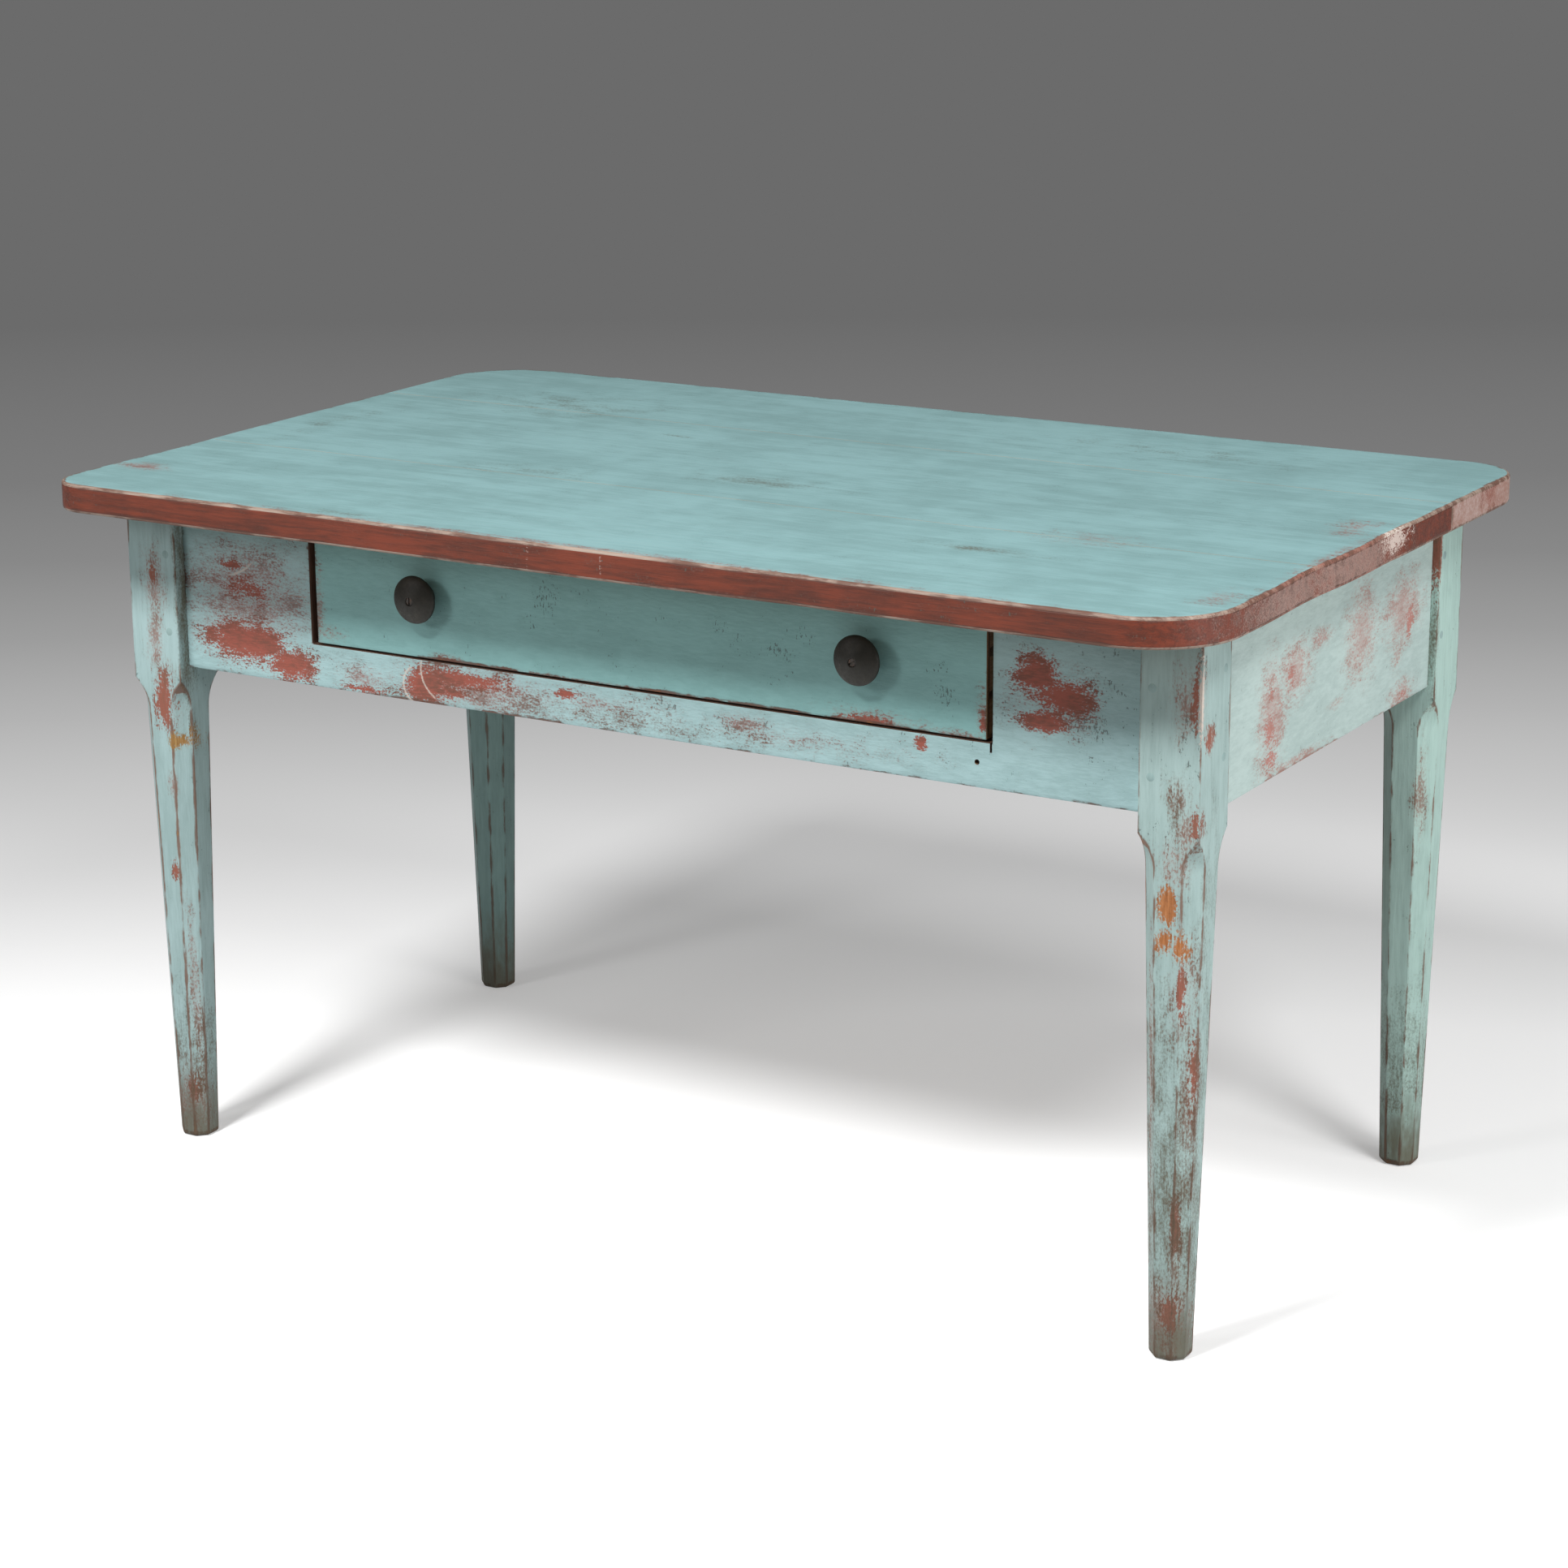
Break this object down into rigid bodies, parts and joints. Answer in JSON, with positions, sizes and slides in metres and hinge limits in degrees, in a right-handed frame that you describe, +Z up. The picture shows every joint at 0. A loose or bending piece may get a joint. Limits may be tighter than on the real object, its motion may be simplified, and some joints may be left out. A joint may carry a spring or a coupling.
{
  "type": "work table",
  "caption": "Painted farmhouse work table with a round-cornered board top, tapered eight-sided legs and a wide dovetailed drawer with turned knobs.",
  "frame": {"origin": "centre of the footprint of the top, on the floor under the feet", "axes": "+X to the right along the length, -Y towards the drawer front, +Z up"},
  "size_m": [1.32, 0.815, 0.75],
  "materials": {
    "painted_wood": "worn blue-green paint over an older red coat",
    "bare_wood": "old unpainted pine, dry and darkened",
    "peg_wood": "split hardwood pegs, painted over at their ends",
    "knob_wood": "turned wood, dark and worn to a dull sheen",
    "dark_iron": "old dark iron"
  },
  "bodies": {
    "table_frame": {"top_board_front": "painted_wood", "top_board_middle": "painted_wood", "top_board_back": "painted_wood", "top_tongue_front": "bare_wood", "top_tongue_back": "bare_wood", "top_buttons": "bare_wood", "top_button_screws": "dark_iron", "leg_front_left": "painted_wood", "leg_front_right": "painted_wood", "leg_back_left": "painted_wood", "leg_back_right": "painted_wood", "apron_front": "painted_wood", "apron_back": "painted_wood", "apron_left": "painted_wood", "apron_right": "painted_wood", "apron_pegs": "peg_wood", "runner_left": "bare_wood", "runner_right": "bare_wood", "guide_left": "bare_wood", "guide_right": "bare_wood", "drawer_stop_left": "bare_wood", "drawer_stop_right": "bare_wood", "runner_nail": "dark_iron"},
    "drawer": {"drawer_front": "painted_wood", "drawer_side_left": "bare_wood", "drawer_side_right": "bare_wood", "drawer_back": "bare_wood", "drawer_bottom_front": "bare_wood", "drawer_bottom_rear": "bare_wood", "drawer_bottom_nails": "dark_iron", "knob_left": "knob_wood", "knob_right": "knob_wood", "knob_screws": "dark_iron"}
  },
  "joints": [
    {"name": "drawer_slide", "type": "slide", "parent": "table_frame", "child": "drawer", "axis": [0, -1, 0], "range_m": [0, 0.4]}
  ]
}
